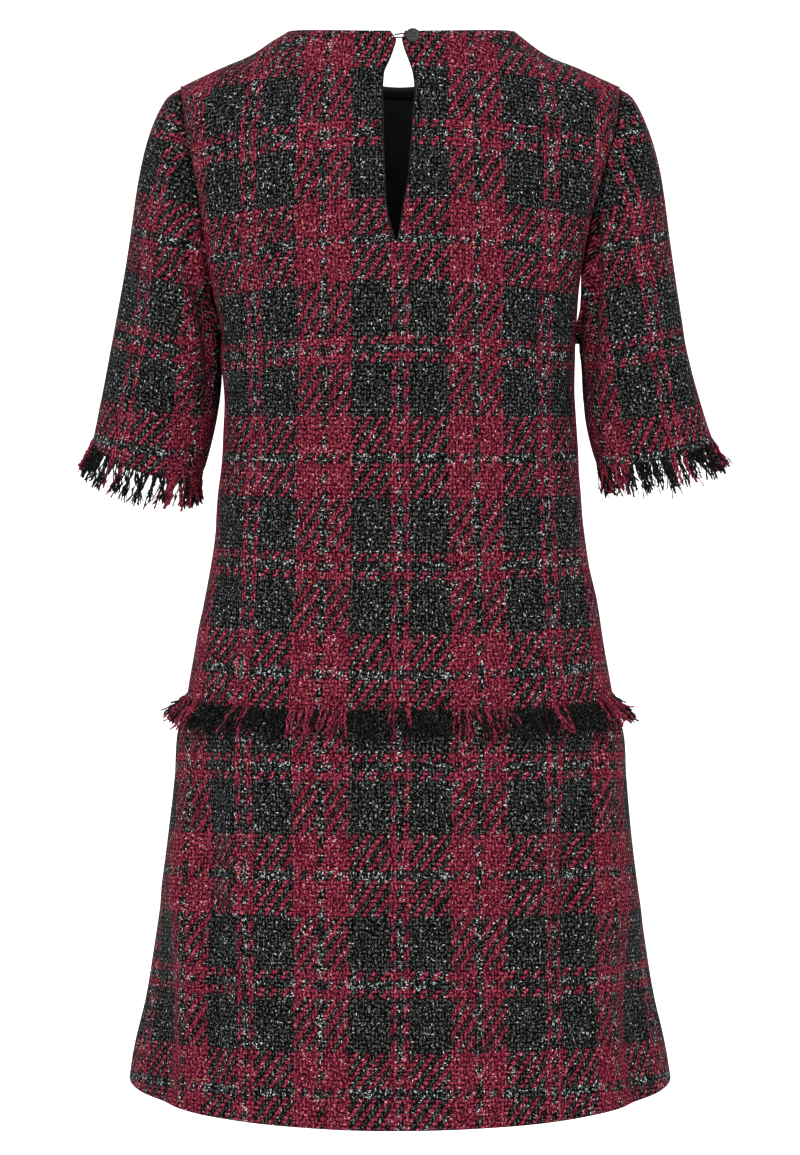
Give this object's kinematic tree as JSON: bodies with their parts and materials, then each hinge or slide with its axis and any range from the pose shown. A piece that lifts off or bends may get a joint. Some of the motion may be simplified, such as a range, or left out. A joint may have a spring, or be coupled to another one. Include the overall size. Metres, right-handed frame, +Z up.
{
  "type": "a-line dress",
  "caption": "A-line dress in plaid boucle tweed with half sleeves, a dropped waist, frayed edges and a buttoned keyhole at the back of the neck.",
  "frame": {"origin": "midway between the two shoulder seams, where the wearer's shoulders hold the dress up", "axes": "+Z up, +Y towards the front of the dress, +X towards the wearer's right; the back of the dress looks along -Y"},
  "size_m": [0.5494, 0.295, 0.895],
  "materials": {
    "tweed": "boucle tweed, matte with fine glints",
    "fringe": "frayed yarn",
    "lining": "smooth lining",
    "tape": "woven tape",
    "button": "satin",
    "thread": "sewing thread",
    "elastic": "covered elastic"
  },
  "bodies": {
    "root": {"bodice_back": "tweed", "bodice_front": "tweed", "skirt_back": "tweed", "skirt_front": "tweed", "sleeve_left": "tweed", "sleeve_right": "tweed", "waist_fringe_back": "fringe", "waist_fringe_front": "fringe", "cuff_fringe_left": "fringe", "cuff_fringe_right": "fringe", "lining_front": "lining", "neck_tape_front": "tape", "button": "button", "button_stem": "thread", "button_loop": "elastic"}
  },
  "joints": []
}
